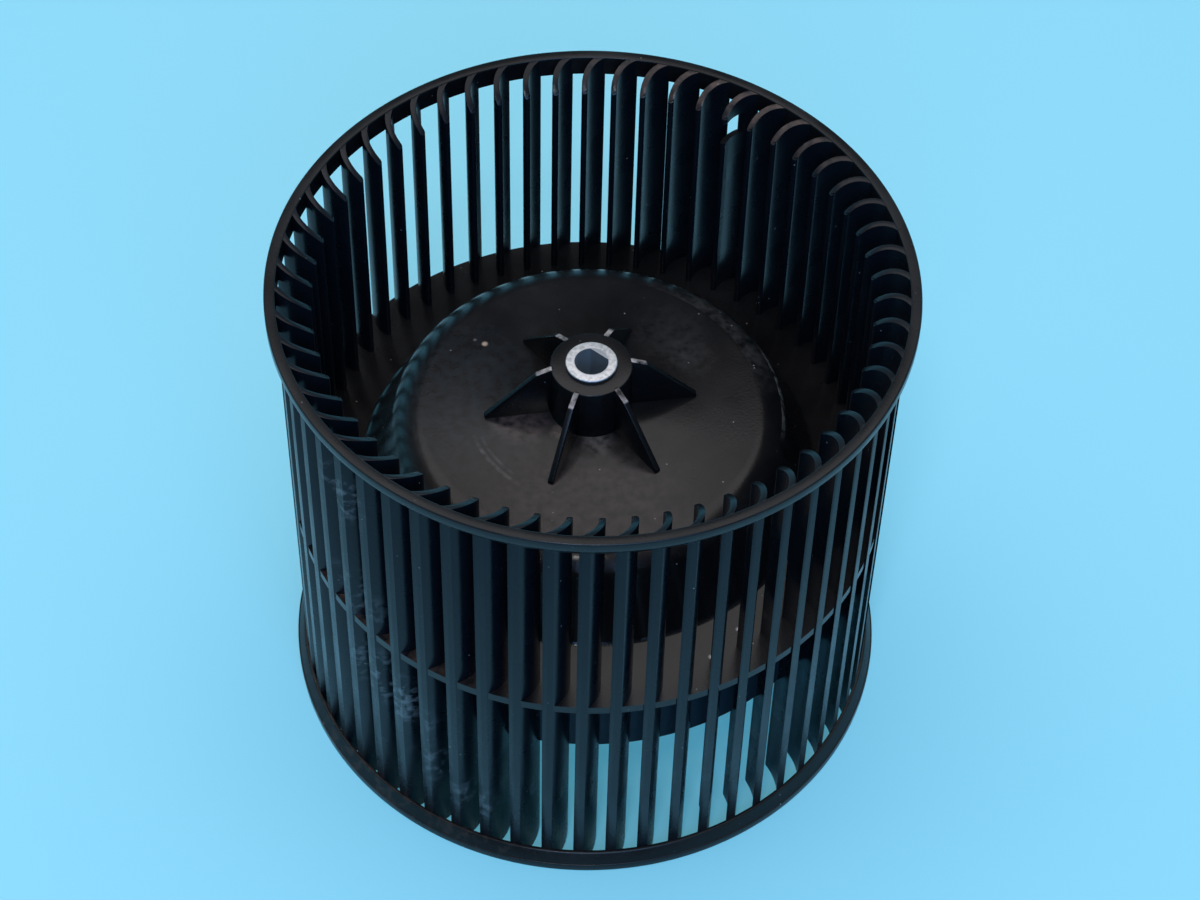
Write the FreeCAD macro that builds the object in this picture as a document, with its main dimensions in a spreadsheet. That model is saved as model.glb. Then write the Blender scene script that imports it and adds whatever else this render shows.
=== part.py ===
import FreeCAD, Part
import math
import os

import Sketcher

# A double inlet blower wheel: one moulded impeller with a metal shaft insert in its boss.
# It stands on its lower rim at z = 0 with its axis on Z. Lengths are in mm, angles in degrees.

doc = FreeCAD.newDocument("BlowerWheel")


# Driving dimensions

SIZES = [
    ("outer_radius", "75", "over the two end rims"),
    ("wheel_height", "135", "from rim face to rim face"),
    ("rim_wall", "2.6", "end rim, measured along the radius"),
    ("rim_land", "2.6", "height of the rim's full width band"),
    ("rim_depth", "5.5", "height of the whole rim, from its face to its toe"),
    ("rim_toe", "0.8", "width of the rim where its slope ends"),
    ("blade_count", "58", "blades round the wheel"),
    ("blade_phase", "2.9", "bearing of the first blade's outer edge"),
    ("blade_thickness", "1.4", "blade wall"),
    ("blade_strips", "3", "flat strips along each curved face"),
    ("blade_depth", "8.3", "from the blade's inner edge to its outer edge, along the radius"),
    ("blade_seat", "0.2", "how far the blades' outer edges run into the rims"),
    ("blade_lead", "3.3", "how far the inner edge is ahead of the outer edge"),
    ("blade_bend", "8.2", "radius of the blade's middle line"),
    ("blade_step", "0.2", "blade end below the rim face, at the rim"),
    ("blade_shoulder", "1.5", "level part of the blade end, beside the rim"),
    ("blade_drop", "4.5", "blade end below the rim face, at the inner edge"),
    ("plate_underside", "66.3", "height of the flange's lower face"),
    ("plate_setback", "0.25", "how far the flange's edge stays inside the blades' outer edges"),
    ("plate_thickness", "2.4", "flange between dome and blades"),
    ("dome_foot_radius", "54.9", "outside of the dome where it leaves the flange"),
    ("dome_top_radius", "45.5", "outside of the dome where cone and disc would meet"),
    ("dome_height", "21.5", "from the flange's upper face to the disc's upper face"),
    ("dome_wall", "2.6", "cone wall, measured along the radius"),
    ("cavity_chamfer", "3.2", "broken corner inside the dome"),
    ("disc_thickness", "2.4", "flat top of the dome"),
    ("dome_shoulder_round", "8", "outer rounding between cone and disc"),
    ("shoulder_strips", "4", "cone strips that make up this rounding"),
    ("skirt_wall", "1.8", "short drum that hangs under the flange"),
    ("skirt_bite", "1.2", "how far the drum's outside runs into the blades"),
    ("skirt_drop", "23.8", "length of the drum under the flange"),
    ("boss_radius", "9.75", "boss round the insert"),
    ("boss_rise", "15.3", "boss above the disc"),
    ("boss_tail", "3.8", "boss below the disc"),
    ("insert_radius", "6.15", "outside of the metal insert"),
    ("insert_length", "22.5", "metal insert from end to end"),
    ("insert_proud", "1.0", "insert above the boss"),
    ("insert_chamfer", "0.3", "outer edges of the insert"),
    ("shaft_radius", "4.0", "bore of the insert"),
    ("shaft_flat", "3.0", "from the axis to the flat of the D bore"),
    ("shaft_flat_bearing", "52", "bearing of the flat"),
    ("lead_in_radius", "4.25", "round lead-in of the bore, a little wider than the shaft"),
    ("lead_in_length", "8", "the lead-in, from the insert's lower end"),
    ("rib_count", "6", "ribs round the boss"),
    ("rib_phase", "9.4", "bearing of the first rib"),
    ("rib_thickness", "1.4", "rib wall"),
    ("rib_land_radius", "13.2", "end of the rib's gently sloped top"),
    ("rib_land_drop", "1.5", "fall of the rib's top from the boss to there"),
    ("rib_tip_radius", "25.65", "end of the rib's slope"),
    ("rib_toe", "0.8", "height of the blunt end of the rib"),
    ("rib_bite", "1", "how far the ribs run into boss and disc"),
    ("broken_blade", "9", "which blade has lost a piece, counted from the first"),
    ("gap_depth", "12.9", "lower edge of the gap, below the upper rim face"),
    ("gap_height", "7.0", "height of the gap at the blade's inner edge"),
    ("gap_taper", "0.4", "how much each side of the gap closes in towards the rim"),
    ("gap_margin", "2.1", "strip of blade left at the outer edge"),
    ("trim", "3", "how far a cut reaches past the material"),
]

sizes = doc.addObject("Spreadsheet::Sheet", "Sizes")
for row, (alias, value, note) in enumerate(SIZES, start=1):
    sizes.set(f"A{row}", alias)
    sizes.set(f"B{row}", value)
    sizes.set(f"C{row}", note)
    sizes.setAlias(f"B{row}", alias)
doc.recompute()


# Places that follow from them

WORKED = [
    ("rim_inner", "Sizes.outer_radius - Sizes.rim_wall"),
    ("blade_outer", "rim_inner + Sizes.blade_seat"),
    ("blade_inner", "blade_outer - Sizes.blade_depth"),
    ("plate_radius", "blade_outer - Sizes.plate_setback"),
    ("plate_top", "Sizes.plate_underside + Sizes.plate_thickness"),
    ("disc_top", "plate_top + Sizes.dome_height"),
    ("disc_under", "disc_top - Sizes.disc_thickness"),
    ("dome_taper", "(Sizes.dome_foot_radius - Sizes.dome_top_radius) / Sizes.dome_height"),
    ("shoulder_turn", "90 deg - atan(dome_taper)"),
    ("round_across", "Sizes.dome_top_radius - Sizes.dome_shoulder_round * tan(shoulder_turn / 2)"),
    ("round_up", "disc_top - Sizes.dome_shoulder_round"),
    ("cavity_foot", "Sizes.dome_foot_radius - Sizes.dome_wall + dome_taper * Sizes.plate_thickness"),
    ("cavity_top", "Sizes.dome_top_radius - Sizes.dome_wall + dome_taper * Sizes.disc_thickness"),
    ("cavity_side", "cavity_top + Sizes.cavity_chamfer * dome_taper"),
    ("skirt_outer", "blade_inner + Sizes.skirt_bite"),
    ("skirt_inner", "skirt_outer - Sizes.skirt_wall"),
    ("skirt_bottom", "Sizes.plate_underside - Sizes.skirt_drop"),
    ("boss_top", "disc_top + Sizes.boss_rise"),
    ("boss_bottom", "disc_under - Sizes.boss_tail"),
    ("insert_top", "boss_top + Sizes.insert_proud"),
    ("insert_bottom", "insert_top - Sizes.insert_length"),
    ("tip_across", "sqrt(blade_inner^2 - Sizes.blade_lead^2)"),
    ("chord_run", "blade_outer - tip_across"),
    ("chord", "sqrt(chord_run^2 + Sizes.blade_lead^2)"),
    ("chord_offset", "sqrt(Sizes.blade_bend^2 - chord^2 / 4)"),
    ("bend_across", "(blade_outer + tip_across) / 2 - Sizes.blade_lead / chord * chord_offset"),
    ("bend_ahead", "Sizes.blade_lead / 2 - chord_run / chord * chord_offset"),
    ("bend_outside", "Sizes.blade_bend + Sizes.blade_thickness / 2"),
    ("bend_inside", "Sizes.blade_bend - Sizes.blade_thickness / 2"),
    ("leading_root_angle", "acos((blade_outer - bend_across) / bend_outside)"),
    ("trailing_root_angle", "acos((blade_outer - bend_across) / bend_inside)"),
    ("tip_angle", "acos((tip_across - bend_across) / Sizes.blade_bend)"),
    ("end_across", "blade_inner - Sizes.blade_thickness"),
    ("shoulder_across", "rim_inner - Sizes.blade_shoulder"),
    ("end_slope", "(Sizes.blade_drop - Sizes.blade_step) / (shoulder_across - blade_inner)"),
    ("end_up", "Sizes.blade_drop + end_slope * Sizes.blade_thickness"),
    ("blade_pitch", "360 / Sizes.blade_count"),
    ("gap_bearing", "Sizes.blade_phase + Sizes.broken_blade * blade_pitch"),
    ("gap_low", "Sizes.wheel_height - Sizes.gap_depth"),
    ("gap_high", "gap_low + Sizes.gap_height"),
    ("gap_end", "blade_outer - Sizes.gap_margin"),
]

worked = doc.addObject("Spreadsheet::Sheet", "Worked")
for row, (alias, formula) in enumerate(WORKED, start=1):
    worked.set(f"A{row}", alias)
    worked.set(f"B{row}", f"={formula}")
    worked.setAlias(f"B{row}", alias)
doc.recompute()


# Sketching. In the constraints, edge -1 with its point 1 is the origin, and edge -1 alone is the
# X axis. An edge's point 1 is its start, 2 its end and 3 its centre.


def new_sketch(body, name, plane, turn=None):
    """A sketch on one of the body's own planes, turned about the wheel's axis by an expression."""
    sketch = body.newObject("Sketcher::SketchObject", name)
    base = next(feature for feature in body.Origin.OriginFeatures if feature.Role == plane)
    sketch.AttachmentSupport = [(base, "")]
    sketch.MapMode = "FlatFace"
    if turn:
        upright = FreeCAD.Vector(0, 0, 1) if plane == "XY_Plane" else FreeCAD.Vector(0, 1, 0)
        sketch.AttachmentOffset = FreeCAD.Placement(FreeCAD.Vector(), FreeCAD.Rotation(upright, 1))
        sketch.setExpression("AttachmentOffset.Rotation.Angle", turn)
    return sketch


def bind(sketch, constraint, expression):
    """Add a dimension and tie it to an expression."""
    index = sketch.addConstraint(constraint)
    sketch.setExpression(f"Constraints[{index}]", expression)


def place(sketch, geometry, point, across, up):
    """Hold a point by its two coordinates; a coordinate of 0 puts it on the axis."""
    value = sketch.evalExpression(across)
    bind(sketch, Sketcher.Constraint("DistanceX", -1, 1, geometry, point, value), across)
    if up == "0":
        sketch.addConstraint(Sketcher.Constraint("PointOnObject", geometry, point, -1))
    else:
        value = sketch.evalExpression(up)
        bind(sketch, Sketcher.Constraint("DistanceY", -1, 1, geometry, point, value), up)


def outline(sketch, corners):
    """Close a loop of straight edges through the corners."""
    points = []
    for across, up in corners:
        points.append(FreeCAD.Vector(sketch.evalExpression(across), sketch.evalExpression(up), 0))
    edges = []
    for number, start in enumerate(points):
        end = points[(number + 1) % len(points)]
        edges.append(sketch.addGeometry(Part.LineSegment(start, end)))
    for number, (across, up) in enumerate(corners):
        sketch.addConstraint(Sketcher.Constraint("Coincident", edges[number - 1], 2, edges[number], 1))
        place(sketch, edges[number], 1, across, up)


def circle(sketch, radius):
    """A circle about the wheel's axis."""
    value = sketch.evalExpression(radius)
    ring = sketch.addGeometry(Part.Circle(FreeCAD.Vector(), FreeCAD.Vector(0, 0, 1), value))
    sketch.addConstraint(Sketcher.Constraint("Coincident", ring, 3, -1, 1))
    bind(sketch, Sketcher.Constraint("Radius", ring, value), radius)


# Features

def turned(body, kind, name, sketch):
    """A Revolution or Groove of the sketch, all the way round the wheel's axis."""
    feature = body.newObject(f"PartDesign::{kind}", name)
    feature.Profile = sketch
    feature.ReferenceAxis = (sketch, ["V_Axis"])
    feature.Angle = 360
    doc.recompute()
    return feature


def ring_pattern(body, name, originals, count):
    """Copies of a feature, evenly spaced round the wheel's axis."""
    pattern = body.newObject("PartDesign::PolarPattern", name)
    pattern.Originals = originals
    pattern.Axis = (next(axis for axis in body.Origin.OriginFeatures if axis.Role == "Z_Axis"), [""])
    pattern.Angle = 360
    pattern.Occurrences = int(sizes.evalExpression(count))
    pattern.setExpression("Occurrences", count)
    body.Tip = pattern
    doc.recompute()
    return pattern


def chamfered(body, name, base, amount, *rings):
    """Chamfer the circular edges of the base that lie at the given radius and height."""
    names = []
    for across, up in rings:
        wanted = (worked.evalExpression(across), worked.evalExpression(up))
        for number, edge in enumerate(base.Shape.Edges, start=1):
            if not isinstance(edge.Curve, Part.Circle):
                continue
            if abs(edge.Curve.Axis.z) < 0.999:
                continue
            found = (edge.Curve.Radius, edge.Curve.Center.z)
            if max(abs(found[0] - wanted[0]), abs(found[1] - wanted[1])) < 0.001:
                names.append(f"Edge{number}")
    if len(names) < len(rings):
        raise RuntimeError(f"{name}: an edge of {rings} is missing")
    feature = body.newObject("PartDesign::Chamfer", name)
    feature.Base = (base, names)
    feature.Size = worked.evalExpression(amount)
    feature.setExpression("Size", amount)
    doc.recompute()
    return feature


# The impeller, one moulding in black plastic

impeller = doc.addObject("PartDesign::Body", "Impeller")
impeller.Label = "impeller"

# Boss, dome, flange and the short drum under it are one turned section. The flange reaches
# out almost to the blades' outer edges. The dome's shoulder is rounded in a few cone strips.
shoulder = []
shoulder_strips = int(sizes.evalExpression("shoulder_strips"))
for number in range(shoulder_strips, -1, -1):
    angle = f"(Worked.shoulder_turn * {number / shoulder_strips})"
    shoulder.append((f"Worked.round_across + Sizes.dome_shoulder_round * sin{angle}",
                     f"Worked.round_up + Sizes.dome_shoulder_round * cos{angle}"))

web_section = new_sketch(impeller, "WebSection", "XZ_Plane")
outline(web_section, [
    ("Worked.plate_radius", "Sizes.plate_underside"),
    ("Worked.plate_radius", "Worked.plate_top"),
    ("Sizes.dome_foot_radius", "Worked.plate_top"),
    *shoulder,
    ("Sizes.boss_radius", "Worked.disc_top"),
    ("Sizes.boss_radius", "Worked.boss_top"),
    ("Sizes.insert_radius", "Worked.boss_top"),
    ("Sizes.insert_radius", "Worked.boss_bottom"),
    ("Sizes.boss_radius", "Worked.boss_bottom"),
    ("Sizes.boss_radius", "Worked.disc_under"),
    ("Worked.cavity_top - Sizes.cavity_chamfer", "Worked.disc_under"),
    ("Worked.cavity_side", "Worked.disc_under - Sizes.cavity_chamfer"),
    ("Worked.cavity_foot", "Sizes.plate_underside"),
    ("Worked.skirt_inner", "Sizes.plate_underside"),
    ("Worked.skirt_inner", "Worked.skirt_bottom"),
    ("Worked.skirt_outer", "Worked.skirt_bottom"),
    ("Worked.skirt_outer", "Sizes.plate_underside"),
])
turned(impeller, "Revolution", "Web", web_section)

# Six ribs stiffen the boss. Their tops fall gently beside it and then more steeply to the disc.
rib_outline = new_sketch(impeller, "RibOutline", "XZ_Plane", turn="Sizes.rib_phase")
outline(rib_outline, [
    ("Sizes.boss_radius - Sizes.rib_bite", "Worked.disc_top - Sizes.rib_bite"),
    ("Sizes.rib_tip_radius", "Worked.disc_top - Sizes.rib_bite"),
    ("Sizes.rib_tip_radius", "Worked.disc_top + Sizes.rib_toe"),
    ("Sizes.rib_land_radius", "Worked.boss_top - Sizes.rib_land_drop"),
    ("Sizes.boss_radius - Sizes.rib_bite", "Worked.boss_top"),
])
rib = impeller.newObject("PartDesign::Pad", "Rib")
rib.Profile = rib_outline
rib.SideType = "Symmetric"
rib.Length = sizes.evalExpression("rib_thickness")
rib.setExpression("Length", "Sizes.rib_thickness")
doc.recompute()
ring_pattern(impeller, "Ribs", [rib], "Sizes.rib_count")

# One blade: a curved wall whose two faces follow arcs about the same centre. Each face is made
# of a few flat strips, because there are so many blades. The root is square, inside the rims.
blade_outline = new_sketch(impeller, "BladeOutline", "XY_Plane", turn="Sizes.blade_phase")
strips = int(sizes.evalExpression("blade_strips"))


def strip_edge(arc, root_angle, share):
    """A point on one face of the blade, at a share of the way from root to tip."""
    angle = f"({root_angle} + (Worked.tip_angle - {root_angle}) * {share})"
    return (f"Worked.bend_across + {arc} * cos{angle}", f"Worked.bend_ahead + {arc} * sin{angle}")


leading_face = []
trailing_face = []
for number in range(strips + 1):
    share = number / strips
    leading_face.append(strip_edge("Worked.bend_outside", "Worked.leading_root_angle", share))
    trailing_face.append(strip_edge("Worked.bend_inside", "Worked.trailing_root_angle", share))
outline(blade_outline, leading_face + trailing_face[::-1])

blade = impeller.newObject("PartDesign::Pad", "Blade")
blade.Profile = blade_outline
blade.Length = sizes.evalExpression("wheel_height")
blade.setExpression("Length", "Sizes.wheel_height")
doc.recompute()

# The blade ends are level beside the rim and then slope down towards the wheel's axis.
end_outlines = new_sketch(impeller, "EndOutlines", "XZ_Plane", turn="Sizes.blade_phase")
outline(end_outlines, [
    ("Worked.end_across", "0 - Sizes.trim"),
    ("Worked.blade_outer + Sizes.trim", "0 - Sizes.trim"),
    ("Worked.blade_outer + Sizes.trim", "Sizes.blade_step"),
    ("Worked.shoulder_across", "Sizes.blade_step"),
    ("Worked.end_across", "Worked.end_up"),
])
outline(end_outlines, [
    ("Worked.end_across", "Sizes.wheel_height + Sizes.trim"),
    ("Worked.blade_outer + Sizes.trim", "Sizes.wheel_height + Sizes.trim"),
    ("Worked.blade_outer + Sizes.trim", "Sizes.wheel_height - Sizes.blade_step"),
    ("Worked.shoulder_across", "Sizes.wheel_height - Sizes.blade_step"),
    ("Worked.end_across", "Sizes.wheel_height - Worked.end_up"),
])
blade_ends = impeller.newObject("PartDesign::Pocket", "BladeEnds")
blade_ends.Profile = end_outlines
blade_ends.SideType = "Two sides"
blade_ends.setExpression("Length", "Sizes.blade_lead + Sizes.blade_thickness")
blade_ends.setExpression("Length2", "Sizes.blade_thickness")
doc.recompute()
ring_pattern(impeller, "Blades", [blade, blade_ends], "Sizes.blade_count")

# A piece has broken out of one blade near its upper end, and a strip at its outer edge is left.
gap_outline = new_sketch(impeller, "GapOutline", "XZ_Plane", turn="Worked.gap_bearing")
outline(gap_outline, [
    ("Worked.blade_inner - Sizes.trim", "Worked.gap_low"),
    ("Worked.gap_end", "Worked.gap_low + Sizes.gap_taper"),
    ("Worked.gap_end", "Worked.gap_high - Sizes.gap_taper"),
    ("Worked.blade_inner - Sizes.trim", "Worked.gap_high"),
])
gap = impeller.newObject("PartDesign::Pocket", "Gap")
gap.Profile = gap_outline
gap.SideType = "Two sides"
gap.setExpression("Length", "Sizes.blade_lead + Sizes.blade_thickness")
gap.setExpression("Length2", "Sizes.blade_thickness")
doc.recompute()

# The two end rims hold the blades at their outer edges. Each is a band with a sloped shoulder.
rim_sections = new_sketch(impeller, "RimSections", "XZ_Plane")
outline(rim_sections, [
    ("Worked.rim_inner", "Sizes.wheel_height - Sizes.rim_depth"),
    ("Worked.rim_inner + Sizes.rim_toe", "Sizes.wheel_height - Sizes.rim_depth"),
    ("Sizes.outer_radius", "Sizes.wheel_height - Sizes.rim_land"),
    ("Sizes.outer_radius", "Sizes.wheel_height"),
    ("Worked.rim_inner", "Sizes.wheel_height"),
])
outline(rim_sections, [
    ("Worked.rim_inner", "0"),
    ("Sizes.outer_radius", "0"),
    ("Sizes.outer_radius", "Sizes.rim_land"),
    ("Worked.rim_inner + Sizes.rim_toe", "Sizes.rim_depth"),
    ("Worked.rim_inner", "Sizes.rim_depth"),
])
rims = turned(impeller, "Revolution", "Rims", rim_sections)
impeller.Tip = rims
doc.recompute()


# The insert, a turned metal bush that the impeller is moulded round

insert = doc.addObject("PartDesign::Body", "HubInsert")
insert.Label = "hub_insert"
insert.setExpression("Placement.Base.z", "Worked.insert_bottom")

insert_ring = new_sketch(insert, "InsertRing", "XY_Plane")
circle(insert_ring, "Sizes.insert_radius")
bush = insert.newObject("PartDesign::Pad", "Bush")
bush.Profile = insert_ring
bush.Length = sizes.evalExpression("insert_length")
bush.setExpression("Length", "Sizes.insert_length")
doc.recompute()
chamfered(insert, "BushEdges", bush, "Sizes.insert_chamfer",
          ("Sizes.insert_radius", "0"),
          ("Sizes.insert_radius", "Sizes.insert_length"))

# The bore has a round lead-in at its lower end, where the shaft enters, and is D shaped above.
lead_in_outline = new_sketch(insert, "LeadInOutline", "XY_Plane")
circle(lead_in_outline, "Sizes.lead_in_radius")
lead_in = insert.newObject("PartDesign::Pocket", "LeadIn")
lead_in.Profile = lead_in_outline
lead_in.Reversed = True
lead_in.Length = sizes.evalExpression("lead_in_length")
lead_in.setExpression("Length", "Sizes.lead_in_length")
doc.recompute()

d_outline = new_sketch(insert, "DOutline", "XY_Plane", turn="Sizes.shaft_flat_bearing")
shaft_radius = sizes.evalExpression("shaft_radius")
shaft_flat = sizes.evalExpression("shaft_flat")
flat_angle = math.acos(shaft_flat / shaft_radius)
shaft_circle = Part.Circle(FreeCAD.Vector(), FreeCAD.Vector(0, 0, 1), shaft_radius)
bow = d_outline.addGeometry(Part.ArcOfCircle(shaft_circle, flat_angle, 2 * math.pi - flat_angle))
bow_ends = d_outline.Geometry[bow]
flat = d_outline.addGeometry(Part.LineSegment(bow_ends.EndPoint, bow_ends.StartPoint))
d_outline.addConstraint(Sketcher.Constraint("Coincident", bow, 3, -1, 1))
d_outline.addConstraint(Sketcher.Constraint("Coincident", flat, 1, bow, 2))
d_outline.addConstraint(Sketcher.Constraint("Coincident", flat, 2, bow, 1))
d_outline.addConstraint(Sketcher.Constraint("Vertical", flat))
bind(d_outline, Sketcher.Constraint("Radius", bow, shaft_radius), "Sizes.shaft_radius")
bind(d_outline, Sketcher.Constraint("DistanceX", -1, 1, flat, 1, shaft_flat), "Sizes.shaft_flat")
d_bore = insert.newObject("PartDesign::Pocket", "DBore")
d_bore.Profile = d_outline
d_bore.Reversed = True
d_bore.Type = "ThroughAll"
insert.Tip = d_bore
doc.recompute()


# Checks and export

def volume(shape):
    """The solid's volume in cubic centimetres."""
    return shape.Volume / 1000


for thing in doc.Objects:
    if "Invalid" in thing.State or "Error" in thing.State:
        raise RuntimeError(f"{thing.Label} failed: {thing.State}")
    if thing.isDerivedFrom("Sketcher::SketchObject") and not thing.FullyConstrained:
        raise RuntimeError(f"{thing.Label} is not fully constrained")

for feature in (blade_ends, gap, lead_in, d_bore):
    before = feature.BaseFeature.Shape.Volume
    if feature.Shape.Volume > before - 1:
        raise RuntimeError(f"{feature.Label} cuts nothing")

os.makedirs("parts", exist_ok=True)
for body in (impeller, insert):
    shape = body.Shape
    if shape.isNull() or not shape.isValid() or len(shape.Solids) != 1:
        raise RuntimeError(f"{body.Label} is not one valid solid")
    print(f"{body.Label}: {volume(shape):.2f} cm3, {len(shape.Faces)} faces")

for body in (impeller, insert):
    body.Shape.exportStep(f"parts/{body.Label}.step")
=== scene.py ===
import math

import bmesh
import bpy
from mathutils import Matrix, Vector


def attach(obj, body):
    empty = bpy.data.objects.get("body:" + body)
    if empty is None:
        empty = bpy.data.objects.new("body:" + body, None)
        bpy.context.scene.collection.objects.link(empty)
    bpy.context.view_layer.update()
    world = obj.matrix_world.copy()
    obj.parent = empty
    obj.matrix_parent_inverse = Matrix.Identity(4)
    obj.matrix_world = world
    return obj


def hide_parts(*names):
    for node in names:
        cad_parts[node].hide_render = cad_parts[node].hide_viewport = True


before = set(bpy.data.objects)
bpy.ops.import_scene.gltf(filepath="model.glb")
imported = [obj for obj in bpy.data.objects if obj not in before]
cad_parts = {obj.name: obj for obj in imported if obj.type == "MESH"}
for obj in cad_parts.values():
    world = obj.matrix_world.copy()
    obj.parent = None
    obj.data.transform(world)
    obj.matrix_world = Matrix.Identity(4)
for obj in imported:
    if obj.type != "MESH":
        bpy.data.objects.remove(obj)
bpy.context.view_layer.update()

bpy.ops.object.select_all(action="DESELECT")


# Camera
# The wheel is seen from above its front, from about 0.8 m away, with a long lens. The camera is
# turned a degree, as the photograph is.
bpy.ops.object.camera_add(
    location=(0.0, -0.4599, 0.6531),
    rotation=(math.radians(38.40), math.radians(-1.00), math.radians(0.94)),
)
camera = bpy.context.object
camera.name = "camera"
camera.data.lens = 91.09
camera.data.sensor_width = 36.0
bpy.context.scene.camera = camera


# Table
# A sheet of pale blue card lies flat under the wheel and goes on past every edge of the view. The
# card glows a little, as thin card does with light under it, so that the shadows on it stay blue.
bpy.ops.mesh.primitive_plane_add(size=5.0, location=(0, 0, 0))
table = bpy.context.object
table.name = "table"


def feed(node, inputs):
    """Give each named or numbered input of a node a plain value, or a link from another node."""
    for socket, value in inputs.items():
        if isinstance(value, bpy.types.NodeSocket):
            node.id_data.links.new(value, node.inputs[socket])
        else:
            node.inputs[socket].default_value = value
    return node


def new_node(tree, kind, inputs, **settings):
    """Add a node to a material or a world, with its settings and inputs."""
    node = tree.nodes.new(kind)
    for setting, value in settings.items():
        setattr(node, setting, value)
    return feed(node, inputs)


card_finish = bpy.data.materials.new("blue_card")
card_finish.use_nodes = True
card_finish.cycles.emission_sampling = "NONE"
card_tree = card_finish.node_tree
card = feed(card_tree.nodes["Principled BSDF"], {
    "Base Color": (0.47, 0.86, 0.98, 1.0), "Roughness": 0.9, "Specular IOR Level": 0.1,
})
glow = new_node(card_tree, "ShaderNodeEmission", {"Color": (0.16, 0.74, 1.0, 1.0)})
seen_by = new_node(card_tree, "ShaderNodeLightPath", {})
glow_share = 0.0
for ray, part in (("Is Camera Ray", 0.30), ("Is Glossy Ray", 0.10), ("Is Transmission Ray", 0.10)):
    more_glow = new_node(card_tree, "ShaderNodeMath", {0: seen_by.outputs[ray], 1: part, 2: glow_share},
                         operation="MULTIPLY_ADD")
    glow_share = more_glow.outputs["Value"]
glowing = new_node(card_tree, "ShaderNodeMixShader", {
    "Fac": glow_share, 1: card.outputs["BSDF"], 2: glow.outputs["Emission"],
})
feed(card_tree.nodes["Material Output"], {"Surface": glowing.outputs["Shader"]})
table.data.materials.append(card_finish)


# Light
# A dark room whose walls turn to the card's blue at their foot, except in front. One broad lamp
# hangs overhead, a bluish one fills in from the front, and a small one gives the thin highlights.

def spread(tree, value, low, high, first=0.0, last=1.0):
    """Stretch what a value does between low and high over the range from first to last."""
    return new_node(tree, "ShaderNodeMapRange", {
        "Value": value, "From Min": low, "From Max": high, "To Min": first, "To Max": last,
    }).outputs["Result"]


def blend(tree, share, first, last):
    """Turn the first colour into the last by a share from 0 to 1."""
    return new_node(tree, "ShaderNodeMix", {"Factor": share, "A": first, "B": last},
                    data_type="RGBA").outputs["Result"]


room = bpy.data.worlds.new("room")
bpy.context.scene.world = room
room.use_nodes = True
room_tree = room.node_tree
outlook = new_node(room_tree, "ShaderNodeTexCoord", {}).outputs["Generated"]
look = new_node(room_tree, "ShaderNodeSeparateXYZ", {"Vector": outlook})
climb = spread(room_tree, look.outputs["Z"], 0.12, 0.55)
walls = blend(room_tree, climb, (0.28, 1.05, 1.50, 1.0), (0.12, 0.12, 0.13, 1.0))
forward = spread(room_tree, look.outputs["Y"], -0.40, -0.85)
front_wall = blend(room_tree, forward, walls, (0.13, 0.14, 0.15, 1.0))
feed(room_tree.nodes["Background"], {"Color": front_wall, "Strength": 1.0})

lit_point = Vector((0, 0, 0.07))
for lamp_name, watts, width, depth, place, colour in (
    ("lamp_overhead", 16.0, 2.3, 1.5, (-0.25, 0.43, 1.6), (1.0, 0.97, 0.97)),
    ("lamp_front", 2.1, 0.14, 0.14, (-0.06, -0.62, 1.15), (1.0, 1.0, 1.0)),
    ("lamp_fill", 16.0, 1.1, 1.0, (0.15, -1.30, 1.00), (0.24, 0.53, 1.0)),
):
    bpy.ops.object.light_add(type="AREA", location=place)
    lamp = bpy.context.object
    lamp.name = lamp_name
    lamp.data.shape = "RECTANGLE"
    lamp.data.energy = watts
    lamp.data.color = colour
    lamp.data.size = width
    lamp.data.size_y = depth
    if lamp_name != "lamp_overhead":
        lamp.rotation_euler = (lit_point - Vector(place)).to_track_quat("-Z", "Y").to_euler()

bpy.context.scene.view_settings.view_transform = "Standard"


# Middle plate, dome, drum and boss
# One turned part of the black moulding. The dome makes room for the motor, the boss on it is
# moulded round the metal insert, and the short drum under the plate stiffens the blades.
merge_gap = 0.000002
corner_reach = 0.00002
smooth_angle = math.radians(35)


def pick_edges(piece, wanted):
    """In edit mode, select the edges whose two ends both pass the test, and nothing else."""
    shape = bmesh.from_edit_mesh(piece.data)
    for face in shape.faces:
        face.select_set(False)
    for edge in shape.edges:
        edge.select_set(all(wanted(vert.co) for vert in edge.verts))
    bmesh.update_edit_mesh(piece.data)


def turned_ring(name, section, rounds, steps=240):
    """A closed ring made by drawing a circle out along its section, with its corners rounded. Each
    round has its corner of the section, its width and its number of segments."""
    start_radius, start_height = section[0]
    bpy.ops.mesh.primitive_circle_add(vertices=steps, radius=start_radius, location=(0, 0, start_height))
    piece = bpy.context.object
    piece.name = name
    bpy.ops.object.transform_apply(location=True)
    bpy.ops.object.mode_set(mode="EDIT")
    bpy.ops.mesh.select_mode(type="EDGE")
    bpy.ops.mesh.select_all(action="SELECT")
    radius, height = start_radius, start_height
    for next_radius, next_height in section[1:] + section[:1]:
        bpy.ops.mesh.extrude_edges_move(
            TRANSFORM_OT_translate={"value": (0, 0, next_height - height)})
        growth = next_radius / radius
        bpy.ops.transform.resize(value=(growth, growth, 1), center_override=(0, 0, 0))
        radius, height = next_radius, next_height
    bpy.ops.mesh.select_all(action="SELECT")
    bpy.ops.mesh.remove_doubles(threshold=merge_gap)
    bpy.ops.mesh.normals_make_consistent(inside=False)
    for (edge_radius, edge_height), width, segments in rounds:
        def on_corner(co):
            return (abs(math.hypot(co.x, co.y) - edge_radius) < corner_reach
                    and abs(co.z - edge_height) < corner_reach)
        pick_edges(piece, on_corner)
        bpy.ops.mesh.bevel(offset=width, segments=segments, affect="EDGES")
    bpy.ops.object.mode_set(mode="OBJECT")
    bpy.ops.object.shade_smooth_by_angle(angle=smooth_angle)
    return piece


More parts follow.
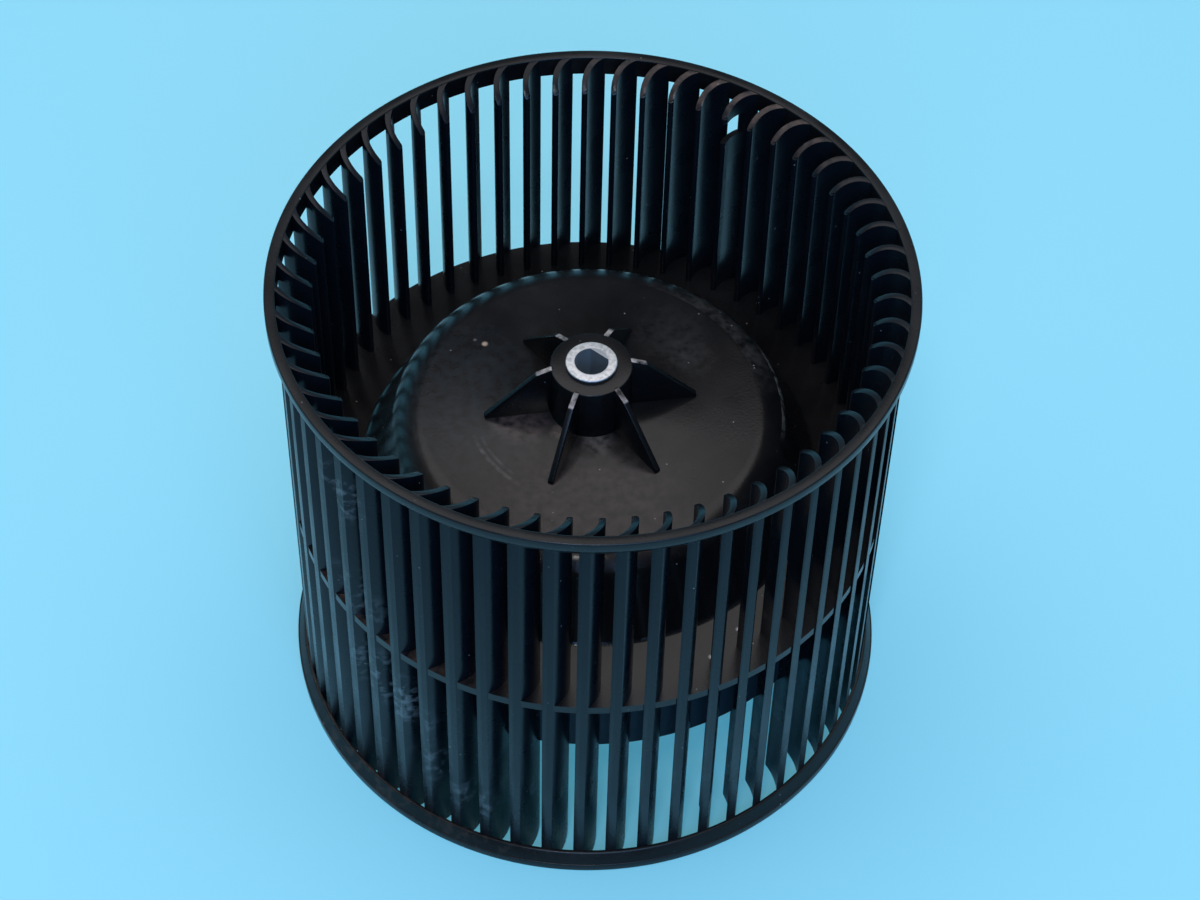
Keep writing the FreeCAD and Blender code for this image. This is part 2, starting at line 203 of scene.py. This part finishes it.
plate_radius, plate_low, plate_high = 0.07235, 0.0663, 0.0687
dome_foot, dome_foot_inside = 0.0549, 0.05335
disc_radius, disc_radius_inside, disc_low, disc_high = 0.0455, 0.04395, 0.0878, 0.0902
boss_radius, boss_low, boss_high = 0.00975, 0.0840, 0.1055
insert_radius = 0.00615
drum_inside, drum_outside, drum_low = 0.0637, 0.0655, 0.0425
web = turned_ring("middle_plate", [
    (plate_radius, plate_low), (plate_radius, plate_high),
    (dome_foot, plate_high), (disc_radius, disc_high),
    (boss_radius, disc_high), (boss_radius, boss_high),
    (insert_radius, boss_high), (insert_radius, boss_low),
    (boss_radius, boss_low), (boss_radius, disc_low),
    (disc_radius_inside, disc_low), (dome_foot_inside, plate_low),
    (drum_inside, plate_low), (drum_inside, drum_low),
    (drum_outside, drum_low), (drum_outside, plate_low),
], [
    ((disc_radius, disc_high), 0.00524, 10),
    ((dome_foot, plate_high), 0.0010, 3),
    ((disc_radius_inside, disc_low), 0.0026, 5),
    ((boss_radius, disc_high), 0.0002, 2),
    ((boss_radius, boss_high), 0.0003, 3),
    ((drum_inside, drum_low), 0.0003, 2),
    ((drum_outside, drum_low), 0.0003, 2),
    ((drum_inside, plate_low), 0.0005, 2),
])


def from_axis(tree, place):
    """How far a place lies from the wheel's axis."""
    flat = new_node(tree, "ShaderNodeVectorMath", {0: place, 1: (1, 1, 0)}, operation="MULTIPLY")
    length = new_node(tree, "ShaderNodeVectorMath", {0: flat.outputs["Vector"]}, operation="LENGTH")
    return length.outputs["Value"]


def black_moulding(name, dust, smudge, black=(0.0035, 0.0037, 0.0045), gloss=(0.20, 0.34), shine=0.30,
                   stains_and_painted_light=(), scuffs=(), matt_and_painted_reflection=None):
    """Black plastic with a fine moulded grain, a film of dust on what faces up, pale smudges, a few specks,
    stain marks and patches of painted light on upward faces, and scuffs on any face. A stain or painted
    patch has its place, reach, amount and tint, and may be kept to a band with a radius and a width. A scuff
    has the first four of these.
    The low part below a given height is dull, and its blue-black is a painted reflection of the blue card:
    its entry gives that height, that blue-black and the roughness."""
    finish = bpy.data.materials.new(name)
    finish.use_nodes = True
    tree = finish.node_tree
    place = new_node(tree, "ShaderNodeTexCoord", {}).outputs["Object"]

    def cloud(scale, detail, low, high):
        noise = new_node(tree, "ShaderNodeTexNoise", {"Vector": place, "Scale": scale, "Detail": detail})
        return spread(tree, noise.outputs["Fac"], low, high)

    def worked(operation, *values):
        result = new_node(tree, "ShaderNodeMath", dict(enumerate(values)), operation=operation)
        return result.outputs["Value"]

    def product(value, *others):
        for other in others:
            value = worked("MULTIPLY", value, other)
        return value

    def near(centre, reach):
        full_strength = 0.45
        away = new_node(tree, "ShaderNodeVectorMath", {0: place, 1: centre}, operation="DISTANCE")
        return spread(tree, away.outputs["Value"], reach, reach * full_strength)

    axes = new_node(tree, "ShaderNodeSeparateXYZ", {"Vector": place})
    radius = from_axis(tree, place)
    normal = new_node(tree, "ShaderNodeNewGeometry", {}).outputs["Normal"]
    facing = new_node(tree, "ShaderNodeSeparateXYZ", {"Vector": normal})
    upward = spread(tree, facing.outputs["Z"], 0.4, 0.95)

    film = product(upward, cloud(38.0, 6.0, 0.3, 0.75), dust)
    marks = product(cloud(45.0, 5.0, 0.48, 0.80), cloud(300.0, 3.0, 0.2, 0.8), smudge)
    cells = new_node(tree, "ShaderNodeTexVoronoi", {"Vector": place, "Scale": 380.0})
    chosen = new_node(tree, "ShaderNodeSeparateColor", {"Color": cells.outputs["Color"]})
    specks = product(spread(tree, cells.outputs["Distance"], 0.09, 0.05),
                     spread(tree, chosen.outputs["Red"], 0.80, 0.95, 0.0, 0.50))
    layers = [
        (film, (0.105, 0.095, 0.092)),
        (marks, (0.12, 0.13, 0.14)),
        (specks, (0.45, 0.45, 0.45)),
    ]
    for centre, reach, amount, tint in scuffs:
        layers.append((product(near(centre, reach), cloud(420.0, 8.0, 0.48, 0.64), amount), tint))
    # Stain marks and patches of painted light on upward faces, some kept to a band round the axis.
    for centre, reach, amount, tint, *band in stains_and_painted_light:
        patch = product(upward, amount, near(centre, reach))
        if band:
            band_radius, width = band
            off = worked("ABSOLUTE", worked("SUBTRACT", radius, band_radius))
            patch = product(patch, spread(tree, off, width, width * 0.85))
        layers.append((product(patch, cloud(420.0, 6.0, 0.34, 0.66)), tint))
    roughness = spread(tree, cloud(90.0, 5.0, 0.3, 0.7), 0.0, 1.0, *gloss)
    # Below the given height the colour is a blue-black painted reflection of the blue card, and the surface
    # is rougher.
    if matt_and_painted_reflection:
        level, painted_reflection_blue, matt_roughness = matt_and_painted_reflection
        below = spread(tree, axes.outputs["Z"], level, level - 0.0005)
        layers.insert(0, (below, painted_reflection_blue))
        roughness = worked("MAXIMUM", roughness, product(below, matt_roughness))
    colour = (*black, 1.0)
    for amount, tint in layers:
        colour = blend(tree, amount, colour, (*tint, 1.0))
    grain = new_node(tree, "ShaderNodeBump", {
        "Strength": 0.12, "Distance": 0.0001, "Height": cloud(1800.0, 2.0, 0.2, 0.8),
    })
    feed(tree.nodes["Principled BSDF"], {
        "Base Color": colour, "Roughness": roughness, "Specular IOR Level": shine,
        "Normal": grain.outputs["Normal"],
    })
    return finish


disc_marks_and_painted_light = [
    ((-0.0229, -0.0179, disc_high), 0.0095, 0.22, (0.30, 0.28, 0.28), 0.0293, 0.0005),
    ((-0.0222, -0.0172, disc_high), 0.0085, 0.17, (0.20, 0.19, 0.19), 0.0277, 0.0004),
    ((0.0185, 0.0220, disc_high), 0.0110, 0.06, (0.20, 0.19, 0.18)),
    ((0.0239, 0.0150, disc_high), 0.0070, 0.07, (0.22, 0.21, 0.20)),
    # A pale band round the right of the shoulder: dust with a painted highlight.
    ((0.0330, 0.0280, 0.0890), 0.0260, 0.13, (0.22, 0.21, 0.20), 0.0435, 0.0030),
    # A thin pale line along the right of the shoulder: a painted highlight.
    ((0.0460, 0.0100, 0.0880), 0.0180, 0.60, (0.35, 0.34, 0.33), 0.0465, 0.0005),
    ((-0.0285, 0.0197, disc_high), 0.0005, 0.50, (0.40, 0.38, 0.36)),
    ((-0.0260, 0.0185, disc_high), 0.0009, 1.00, (0.90, 0.66, 0.48)),
    ((-0.0167, -0.0050, disc_high), 0.0085, 0.20, (0.34, 0.22, 0.20)),
    ((0.0020, -0.0112, disc_high), 0.0045, 0.25, (0.34, 0.30, 0.28)),
    ((-0.0075, -0.0085, disc_high), 0.0025, 0.35, (0.42, 0.32, 0.29)),
    # A brownish patch at the front of the disc: dust, with painted light that makes the front lighter.
    ((0.0000, -0.0330, disc_high), 0.0300, 0.13, (0.19, 0.13, 0.12)),
    # A bluish patch on the left of the disc: a painted reflection of the blue card.
    ((-0.0320, 0.0020, disc_high), 0.0280, 0.15, (0.05, 0.08, 0.10)),
]
plate_marks = [
    ((0.0295, -0.0573, plate_high), 0.0008, 1.00, (0.60, 0.58, 0.55)),
    ((0.0359, -0.0492, plate_high), 0.0007, 1.00, (0.55, 0.53, 0.50)),
    ((-0.0480, -0.0480, plate_high), 0.0380, 0.16, (0.34, 0.19, 0.14)),
]
# The drum below the plate is painted blue-black, a painted reflection of the blue card seen between the
# blades, and is made rough.
drum_matt_and_painted_reflection = (0.0660, (0.0060, 0.0200, 0.0320), 0.60)
web.data.materials.append(black_moulding("black_plastic_plate", dust=0.09, smudge=0.05, gloss=(0.15, 0.26),
                                         stains_and_painted_light=disc_marks_and_painted_light + plate_marks, matt_and_painted_reflection=drum_matt_and_painted_reflection))
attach(web, "root")
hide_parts("impeller")


# Ribs
# Six thin ribs of the same moulding brace the boss. Their tops fall gently beside it, where they
# are rubbed pale, and then more steeply to the disc.
rib_middle, rib_size = (0.0173, 0, 0.09735), (0.0167, 0.0014, 0.0163)
rib_count, rib_phase = 6, 9.4
gentle_top = ((boss_radius, 0, boss_high), (0.3987, 0, 0.9171))
steep_top = ((0.0132, 0, 0.1040), (0.7221, 0, 0.6917))
bpy.ops.mesh.primitive_cube_add(size=1.0, location=rib_middle, scale=rib_size)
rib = bpy.context.object
bpy.ops.object.transform_apply(location=True, scale=True)
bpy.ops.object.mode_set(mode="EDIT")
for corner, outward in (gentle_top, steep_top):
    bpy.ops.mesh.select_all(action="SELECT")
    bpy.ops.mesh.bisect(plane_co=corner, plane_no=outward, use_fill=True, clear_outer=True)
bpy.ops.mesh.select_all(action="SELECT")
bpy.ops.mesh.bevel(offset=0.00025, segments=2, affect="EDGES")
bpy.ops.object.mode_set(mode="OBJECT")
bpy.ops.object.shade_smooth_by_angle(angle=smooth_angle)


def take(piece):
    """Select one piece alone and make it the active one."""
    bpy.ops.object.select_all(action="DESELECT")
    piece.select_set(True)
    bpy.context.view_layer.objects.active = piece


def copies_round(first, count, phase):
    """Copies set evenly round the wheel's axis, each with a mesh of its own, in place of the first."""
    made = []
    for number in range(count):
        take(first)
        bpy.ops.object.duplicate(linked=False)
        copy = bpy.context.object
        copy.rotation_euler.z = math.radians(phase + number * 360 / count)
        bpy.ops.object.transform_apply(rotation=True)
        made.append(copy)
    bpy.data.objects.remove(first)
    return made


def joined(name, parts):
    """Join the parts to one piece."""
    bpy.ops.object.select_all(action="DESELECT")
    for part in parts:
        part.select_set(True)
    bpy.context.view_layer.objects.active = parts[0]
    bpy.ops.object.join()
    piece = bpy.context.object
    piece.name = name
    bpy.ops.object.select_all(action="DESELECT")
    return piece


ribs = joined("boss_ribs", copies_round(rib, rib_count, rib_phase))
rubbed_tops = [((0, 0, boss_high), 0.0290, 1.00, (0.52, 0.46, 0.44), 0.0110, 0.0024)]
ribs.data.materials.append(black_moulding("black_plastic_ribs", dust=0.06, smudge=0.03, stains_and_painted_light=rubbed_tops))
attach(ribs, "root")
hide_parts("impeller")


# Blades
# 58 thin curved walls of the same moulding, all bent the same way. Their ends fall away from the
# rims towards the axis, and a piece has broken out of one of them near its upper end.
wheel_height = 0.135
blade_count, blade_phase, broken_blade = 58, 2.9, 9
root_radius, tip_radius, tip_lead, bend = 0.0726, 0.0643, 0.0033, 0.0082
wall = 0.0014

# A blade starts as an upright strip as wide as its wall. The strip is spun about the centre of the
# bend, from a little before the root to the tip, and what is spare is cut off at the root.
tip_across = math.sqrt(tip_radius**2 - tip_lead**2)
chord = math.hypot(root_radius - tip_across, tip_lead)
reach = math.sqrt(bend**2 - chord**2 / 4)
bend_across = (root_radius + tip_across) / 2 - tip_lead / chord * reach
bend_ahead = tip_lead / 2 - (root_radius - tip_across) / chord * reach
root_angle = math.atan2(-bend_ahead, root_radius - bend_across)
tip_angle = math.atan2(tip_lead - bend_ahead, tip_across - bend_across)
spare = math.radians(9)
bpy.ops.mesh.primitive_plane_add(size=1.0, location=(0, 0, 0))
blade = bpy.context.object
for change, amount in (
    ("scale", (wall, wheel_height, 1)),
    ("rotation_euler", (math.radians(90), 0, 0)),
    ("location", (bend, 0, wheel_height / 2)),
    ("rotation_euler", (0, 0, root_angle - spare)),
    ("location", (bend_across, bend_ahead, 0)),
):
    setattr(blade, change, amount)
    bpy.ops.object.transform_apply(location=True, rotation=True, scale=True)
bpy.ops.object.mode_set(mode="EDIT")
bpy.ops.mesh.select_mode(type="FACE")
bpy.ops.mesh.select_all(action="SELECT")
bpy.ops.mesh.spin(steps=9, angle=root_angle - tip_angle - spare,
                  center=(bend_across, bend_ahead, 0), axis=(0, 0, 1))
bpy.ops.mesh.select_all(action="SELECT")
bpy.ops.mesh.bisect(plane_co=(root_radius, 0, 0), plane_no=(1, 0, 0), use_fill=True, clear_outer=True)
bpy.ops.mesh.select_all(action="SELECT")
bpy.ops.mesh.remove_doubles(threshold=merge_gap)
bpy.ops.mesh.normals_make_consistent(inside=False)

# The two upright edges at the tip are rounded over.
bpy.ops.mesh.select_mode(type="EDGE")
pick_edges(blade, lambda co: math.hypot(co.x - tip_across, co.y - tip_lead) < wall)
tip_shape = bmesh.from_edit_mesh(blade.data)
for edge in tip_shape.edges:
    if abs(edge.verts[0].co.z - edge.verts[1].co.z) < wheel_height / 2:
        edge.select_set(False)
bmesh.update_edit_mesh(blade.data)
bpy.ops.mesh.bevel(offset=0.00055, segments=4, affect="EDGES")
bpy.ops.object.mode_set(mode="OBJECT")

# Each end follows an arc that leaves the rim's inner edge and falls away to the tip.
rim_inner, end_bend, end_step, end_drop = 0.0724, 0.016, 0.0002, 0.0045
end_chord = math.hypot(rim_inner - tip_radius, end_drop - end_step)
end_reach = math.sqrt(end_bend**2 - end_chord**2 / 4)
end_across = (rim_inner + tip_radius) / 2 + (end_drop - end_step) / end_chord * end_reach
end_down = (end_drop + end_step) / 2 + (rim_inner - tip_radius) / end_chord * end_reach
for vert in blade.data.vertices:
    radius = min(math.hypot(vert.co.x, vert.co.y), rim_inner)
    fall = end_down - math.sqrt(end_bend**2 - (radius - end_across)**2)
    if vert.co.z > wheel_height / 2:
        vert.co.z = vert.co.z - fall
    else:
        vert.co.z = vert.co.z + fall
take(blade)
softened = blade.modifiers.new("edges", "BEVEL")
softened.width = 0.00022
softened.segments = 2
softened.limit_method = "ANGLE"
softened.angle_limit = math.radians(40)
bpy.ops.object.modifier_apply(modifier="edges")
bpy.ops.object.shade_smooth_by_angle(angle=smooth_angle)


def cut_away(piece, cutter, label):
    """Take the cutter's shape out of a piece, which stays selected, and remove the cutter."""
    take(piece)
    cut = piece.modifiers.new(label, "BOOLEAN")
    cut.operation = "DIFFERENCE"
    cut.object = cutter
    bpy.ops.object.modifier_apply(modifier=label)
    bpy.data.objects.remove(cutter)


blades = copies_round(blade, blade_count, blade_phase)
gap_middle, gap_size = (0.0658, 0, 0.1256), (0.0096, 0.012, 0.0066)
bpy.ops.mesh.primitive_cube_add(size=1.0, location=gap_middle, scale=gap_size)
gap = bpy.context.object
bpy.ops.object.transform_apply(location=True, scale=True)
gap.rotation_euler.z = math.radians(blade_phase + broken_blade * 360 / blade_count)
bpy.ops.object.transform_apply(rotation=True)
cut_away(blades[broken_blade], gap, "missing_piece")
blades = joined("blades", blades)

rubbed_grey = (0.20, 0.21, 0.22)
blade_scuffs = [
    ((-0.0565, -0.0475, 0.1130), 0.0100, 0.40, rubbed_grey),
    ((-0.0548, -0.0497, 0.0775), 0.0110, 0.28, rubbed_grey),
    ((-0.0500, -0.0545, 0.0510), 0.0130, 0.42, rubbed_grey),
    ((-0.0436, -0.0598, 0.0460), 0.0100, 0.38, rubbed_grey),
    ((-0.0368, -0.0642, 0.0280), 0.0090, 0.32, rubbed_grey),
    ((-0.0262, -0.0690, 0.0200), 0.0080, 0.38, rubbed_grey),
]
brown_ends = ((0.0300, 0.0600, 0.1310), 0.0420, 0.22, (0.34, 0.20, 0.15))
dark_stub = ((0.0341, 0.0563, 0.1223), 0.0070, 8.00, (0.004, 0.004, 0.005))
# The blades' black is bluer than the rest of the same moulding: a painted reflection of the blue card.
blue_black_painted_reflection = (0.0023, 0.0040, 0.0068)
blades.data.materials.append(black_moulding("black_plastic_blades", dust=0.15, smudge=0.02, black=blue_black_painted_reflection,
                                            gloss=(0.22, 0.34), shine=0.22,
                                            stains_and_painted_light=[brown_ends, dark_stub], scuffs=blade_scuffs))
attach(blades, "root")
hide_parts("impeller")


# End rims
# The two plain rings of the moulding that carry the blades at their outer edges. Each has a
# full-width band at the face and a sloped shoulder, and its corners are slightly rounded.
wheel_radius, ledge_radius, shoulder_radius = 0.0750, 0.0747, 0.0732
band_width, rim_width = 0.0026, 0.0055
lower_section = [
    (rim_inner, 0.0), (wheel_radius, 0.0), (wheel_radius, band_width),
    (ledge_radius, band_width), (shoulder_radius, rim_width), (rim_inner, rim_width),
]
lower_rounds = [
    ((rim_inner, 0.0), 0.00035, 3),
    ((wheel_radius, 0.0), 0.00045, 4),
    ((wheel_radius, band_width), 0.00022, 3),
    ((shoulder_radius, rim_width), 0.0003, 3),
]
upper_section = [(radius, wheel_height - height) for radius, height in lower_section]
upper_rounds = [((radius, wheel_height - height), width, segments)
                for (radius, height), width, segments in lower_rounds]
brown_dirt = ((-0.0500, -0.0550, 0.0040), 0.0600, 0.09, (0.22, 0.13, 0.10))
for rim_name, section, rounds, rim_scuffs in (
    ("lower_rim", lower_section, lower_rounds, [brown_dirt]),
    ("upper_rim", upper_section, upper_rounds, []),
):
    rim = turned_ring(rim_name, section, rounds, steps=288)
    rim.data.materials.append(black_moulding(f"black_plastic_{rim_name}", dust=0.12, smudge=0.06,
                                             shine=0.26, scuffs=rim_scuffs))
    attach(rim, "root")
    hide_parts("impeller")


# Shaft insert
# A turned aluminium bush that the boss is moulded round. Its bore is D-shaped for the motor
# shaft, and round over the lowest part. Dirt sits round its side, where it stands out of the boss.
insert_low, insert_high = boss_low, 0.1065
bpy.ops.mesh.primitive_cylinder_add(vertices=128, radius=insert_radius, depth=insert_high - insert_low,
                                    location=(0, 0, (insert_low + insert_high) / 2))
insert = bpy.context.object
insert.name = "shaft_insert"
bpy.ops.object.transform_apply(location=True)
bpy.ops.object.mode_set(mode="EDIT")
bpy.ops.mesh.select_mode(type="EDGE")
for level in (insert_low, insert_high):
    pick_edges(insert, lambda co: abs(co.z - level) < corner_reach)
    bpy.ops.mesh.bevel(offset=0.0003, segments=3, affect="EDGES")
bpy.ops.object.mode_set(mode="OBJECT")

flat_bearing, flat_distance = math.radians(52), 0.003
flat_facing = (math.cos(flat_bearing), math.sin(flat_bearing), 0)
flat_middle = [flat_distance * part for part in flat_facing]
for bore_name, low, high, bore_radius, has_flat in (
    ("round_bore", 0.0830, 0.0920, 0.00425, False),
    ("d_bore", 0.0918, 0.1080, 0.00400, True),
):
    bpy.ops.mesh.primitive_cylinder_add(vertices=96, radius=bore_radius, depth=high - low,
                                        location=(0, 0, (low + high) / 2))
    drill = bpy.context.object
    bpy.ops.object.transform_apply(location=True)
    if has_flat:
        bpy.ops.object.mode_set(mode="EDIT")
        bpy.ops.mesh.select_all(action="SELECT")
        bpy.ops.mesh.bisect(plane_co=flat_middle, plane_no=flat_facing, use_fill=True, clear_outer=True)
        bpy.ops.object.mode_set(mode="OBJECT")
    cut_away(insert, drill, bore_name)
bpy.ops.object.shade_smooth_by_angle(angle=math.radians(30))

turned_metal = bpy.data.materials.new("turned_aluminium")
turned_metal.use_nodes = True
metal_tree = turned_metal.node_tree
metal_place = new_node(metal_tree, "ShaderNodeTexCoord", {}).outputs["Object"]
metal_axes = new_node(metal_tree, "ShaderNodeSeparateXYZ", {"Vector": metal_place})
metal_radius = from_axis(metal_tree, metal_place)
mottle = new_node(metal_tree, "ShaderNodeTexNoise", {"Vector": metal_place, "Scale": 1100.0, "Detail": 6.0})
bright = spread(metal_tree, mottle.outputs["Fac"], 0.36, 0.56)
tarnish = blend(metal_tree, bright, (0.57, 0.57, 0.58, 1.0), (0.80, 0.80, 0.81, 1.0))
# The bore's walls are painted darker than the turned metal: painted shade inside the bore.
outside_bore = spread(metal_tree, metal_radius, 0.0040, 0.0043)
metal_with_painted_bore_shade = blend(metal_tree, outside_bore, (0.45, 0.48, 0.52, 1.0), tarnish)
top_face = spread(metal_tree, metal_axes.outputs["Z"], 0.1060, 0.1063)
inside = spread(metal_tree, metal_radius, 0.0060, 0.0057)
clean = new_node(metal_tree, "ShaderNodeMath", {0: top_face, 1: inside}, operation="MAXIMUM")
metal_colour = blend(metal_tree, clean.outputs["Value"], (0.08, 0.08, 0.09, 1.0), metal_with_painted_bore_shade)
lathe = new_node(metal_tree, "ShaderNodeTexWave", {
    "Vector": metal_place, "Scale": 900.0, "Distortion": 0.4,
}, wave_type="RINGS", rings_direction="Z")
satin = spread(metal_tree, lathe.outputs["Fac"], 0.0, 1.0, 0.5, 0.6)
ridges = new_node(metal_tree, "ShaderNodeBump", {
    "Strength": 0.1, "Distance": 0.00005, "Height": lathe.outputs["Fac"],
})
feed(metal_tree.nodes["Principled BSDF"], {
    "Metallic": 1.0, "Base Color": metal_colour, "Roughness": satin, "Normal": ridges.outputs["Normal"],
})
insert.data.materials.append(turned_metal)
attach(insert, "root")
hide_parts("hub_insert")
